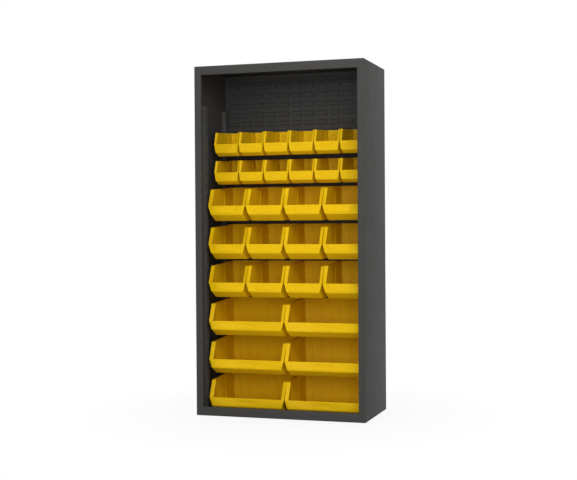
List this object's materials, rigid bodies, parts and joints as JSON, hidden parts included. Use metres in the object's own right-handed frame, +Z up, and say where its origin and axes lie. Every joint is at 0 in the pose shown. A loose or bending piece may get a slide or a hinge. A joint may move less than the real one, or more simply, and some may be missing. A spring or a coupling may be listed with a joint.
{
  "type": "parts bin cabinet",
  "caption": "Open-fronted steel storage cabinet with a louvred back panel and rows of hanging plastic parts bins in three sizes.",
  "frame": {"origin": "middle of the base, on the floor", "axes": "+X to the cabinet's right as seen from the front, +Y to the back, +Z up"},
  "size_m": [0.9144, 0.4572, 1.8288],
  "materials": {
    "cabinet_steel": "dark grey powder coat, fine texture, low sheen",
    "louver_steel": "dark grey powder coat, fine texture, low sheen",
    "bin_plastic": "moulded polypropylene, satin"
  },
  "bodies": {
    "cabinet": {"side_panel_left": "cabinet_steel", "side_panel_right": "cabinet_steel", "top_panel": "cabinet_steel", "bottom_panel": "cabinet_steel", "back_panel": "cabinet_steel", "louver_panel_upper": "louver_steel", "louver_panel_lower": "louver_steel", "louver_panel_side": "louver_steel", "standard_front_left": "cabinet_steel", "standard_front_right": "cabinet_steel", "standard_rear_left": "cabinet_steel", "standard_rear_right": "cabinet_steel"},
    "small_bin_r1_c1": {"small_bin_r1_c1": "bin_plastic"},
    "small_bin_r1_c2": {"small_bin_r1_c2": "bin_plastic"},
    "small_bin_r1_c3": {"small_bin_r1_c3": "bin_plastic"},
    "small_bin_r1_c4": {"small_bin_r1_c4": "bin_plastic"},
    "small_bin_r1_c5": {"small_bin_r1_c5": "bin_plastic"},
    "small_bin_r1_c6": {"small_bin_r1_c6": "bin_plastic"},
    "small_bin_r2_c1": {"small_bin_r2_c1": "bin_plastic"},
    "small_bin_r2_c2": {"small_bin_r2_c2": "bin_plastic"},
    "small_bin_r2_c3": {"small_bin_r2_c3": "bin_plastic"},
    "small_bin_r2_c4": {"small_bin_r2_c4": "bin_plastic"},
    "small_bin_r2_c5": {"small_bin_r2_c5": "bin_plastic"},
    "small_bin_r2_c6": {"small_bin_r2_c6": "bin_plastic"},
    "medium_bin_r3_c1": {"medium_bin_r3_c1": "bin_plastic"},
    "medium_bin_r3_c2": {"medium_bin_r3_c2": "bin_plastic"},
    "medium_bin_r3_c3": {"medium_bin_r3_c3": "bin_plastic"},
    "medium_bin_r3_c4": {"medium_bin_r3_c4": "bin_plastic"},
    "medium_bin_r4_c1": {"medium_bin_r4_c1": "bin_plastic"},
    "medium_bin_r4_c2": {"medium_bin_r4_c2": "bin_plastic"},
    "medium_bin_r4_c3": {"medium_bin_r4_c3": "bin_plastic"},
    "medium_bin_r4_c4": {"medium_bin_r4_c4": "bin_plastic"},
    "medium_bin_r5_c1": {"medium_bin_r5_c1": "bin_plastic"},
    "medium_bin_r5_c2": {"medium_bin_r5_c2": "bin_plastic"},
    "medium_bin_r5_c3": {"medium_bin_r5_c3": "bin_plastic"},
    "medium_bin_r5_c4": {"medium_bin_r5_c4": "bin_plastic"},
    "large_bin_r6_c1": {"large_bin_r6_c1": "bin_plastic"},
    "large_bin_r6_c2": {"large_bin_r6_c2": "bin_plastic"},
    "large_bin_r7_c1": {"large_bin_r7_c1": "bin_plastic"},
    "large_bin_r7_c2": {"large_bin_r7_c2": "bin_plastic"},
    "large_bin_r8_c1": {"large_bin_r8_c1": "bin_plastic"},
    "large_bin_r8_c2": {"large_bin_r8_c2": "bin_plastic"}
  },
  "joints": [
    {"name": "small_bin_r1_c1_lift", "type": "slide", "parent": "cabinet", "child": "small_bin_r1_c1", "axis": [0, 0, 1], "range_m": [0, 0.02]},
    {"name": "small_bin_r1_c2_lift", "type": "slide", "parent": "cabinet", "child": "small_bin_r1_c2", "axis": [0, 0, 1], "range_m": [0, 0.02]},
    {"name": "small_bin_r1_c3_lift", "type": "slide", "parent": "cabinet", "child": "small_bin_r1_c3", "axis": [0, 0, 1], "range_m": [0, 0.02]},
    {"name": "small_bin_r1_c4_lift", "type": "slide", "parent": "cabinet", "child": "small_bin_r1_c4", "axis": [0, 0, 1], "range_m": [0, 0.02]},
    {"name": "small_bin_r1_c5_lift", "type": "slide", "parent": "cabinet", "child": "small_bin_r1_c5", "axis": [0, 0, 1], "range_m": [0, 0.02]},
    {"name": "small_bin_r1_c6_lift", "type": "slide", "parent": "cabinet", "child": "small_bin_r1_c6", "axis": [0, 0, 1], "range_m": [0, 0.02]},
    {"name": "small_bin_r2_c1_lift", "type": "slide", "parent": "cabinet", "child": "small_bin_r2_c1", "axis": [0, 0, 1], "range_m": [0, 0.02]},
    {"name": "small_bin_r2_c2_lift", "type": "slide", "parent": "cabinet", "child": "small_bin_r2_c2", "axis": [0, 0, 1], "range_m": [0, 0.02]},
    {"name": "small_bin_r2_c3_lift", "type": "slide", "parent": "cabinet", "child": "small_bin_r2_c3", "axis": [0, 0, 1], "range_m": [0, 0.02]},
    {"name": "small_bin_r2_c4_lift", "type": "slide", "parent": "cabinet", "child": "small_bin_r2_c4", "axis": [0, 0, 1], "range_m": [0, 0.02]},
    {"name": "small_bin_r2_c5_lift", "type": "slide", "parent": "cabinet", "child": "small_bin_r2_c5", "axis": [0, 0, 1], "range_m": [0, 0.02]},
    {"name": "small_bin_r2_c6_lift", "type": "slide", "parent": "cabinet", "child": "small_bin_r2_c6", "axis": [0, 0, 1], "range_m": [0, 0.02]},
    {"name": "medium_bin_r3_c1_lift", "type": "slide", "parent": "cabinet", "child": "medium_bin_r3_c1", "axis": [0, 0, 1], "range_m": [0, 0.02]},
    {"name": "medium_bin_r3_c2_lift", "type": "slide", "parent": "cabinet", "child": "medium_bin_r3_c2", "axis": [0, 0, 1], "range_m": [0, 0.02]},
    {"name": "medium_bin_r3_c3_lift", "type": "slide", "parent": "cabinet", "child": "medium_bin_r3_c3", "axis": [0, 0, 1], "range_m": [0, 0.02]},
    {"name": "medium_bin_r3_c4_lift", "type": "slide", "parent": "cabinet", "child": "medium_bin_r3_c4", "axis": [0, 0, 1], "range_m": [0, 0.02]},
    {"name": "medium_bin_r4_c1_lift", "type": "slide", "parent": "cabinet", "child": "medium_bin_r4_c1", "axis": [0, 0, 1], "range_m": [0, 0.02]},
    {"name": "medium_bin_r4_c2_lift", "type": "slide", "parent": "cabinet", "child": "medium_bin_r4_c2", "axis": [0, 0, 1], "range_m": [0, 0.02]},
    {"name": "medium_bin_r4_c3_lift", "type": "slide", "parent": "cabinet", "child": "medium_bin_r4_c3", "axis": [0, 0, 1], "range_m": [0, 0.02]},
    {"name": "medium_bin_r4_c4_lift", "type": "slide", "parent": "cabinet", "child": "medium_bin_r4_c4", "axis": [0, 0, 1], "range_m": [0, 0.02]},
    {"name": "medium_bin_r5_c1_lift", "type": "slide", "parent": "cabinet", "child": "medium_bin_r5_c1", "axis": [0, 0, 1], "range_m": [0, 0.02]},
    {"name": "medium_bin_r5_c2_lift", "type": "slide", "parent": "cabinet", "child": "medium_bin_r5_c2", "axis": [0, 0, 1], "range_m": [0, 0.02]},
    {"name": "medium_bin_r5_c3_lift", "type": "slide", "parent": "cabinet", "child": "medium_bin_r5_c3", "axis": [0, 0, 1], "range_m": [0, 0.02]},
    {"name": "medium_bin_r5_c4_lift", "type": "slide", "parent": "cabinet", "child": "medium_bin_r5_c4", "axis": [0, 0, 1], "range_m": [0, 0.02]},
    {"name": "large_bin_r6_c1_lift", "type": "slide", "parent": "cabinet", "child": "large_bin_r6_c1", "axis": [0, 0, 1], "range_m": [0, 0.02]},
    {"name": "large_bin_r6_c2_lift", "type": "slide", "parent": "cabinet", "child": "large_bin_r6_c2", "axis": [0, 0, 1], "range_m": [0, 0.02]},
    {"name": "large_bin_r7_c1_lift", "type": "slide", "parent": "cabinet", "child": "large_bin_r7_c1", "axis": [0, 0, 1], "range_m": [0, 0.02]},
    {"name": "large_bin_r7_c2_lift", "type": "slide", "parent": "cabinet", "child": "large_bin_r7_c2", "axis": [0, 0, 1], "range_m": [0, 0.02]},
    {"name": "large_bin_r8_c1_lift", "type": "slide", "parent": "cabinet", "child": "large_bin_r8_c1", "axis": [0, 0, 1], "range_m": [0, 0.02]},
    {"name": "large_bin_r8_c2_lift", "type": "slide", "parent": "cabinet", "child": "large_bin_r8_c2", "axis": [0, 0, 1], "range_m": [0, 0.02]}
  ]
}
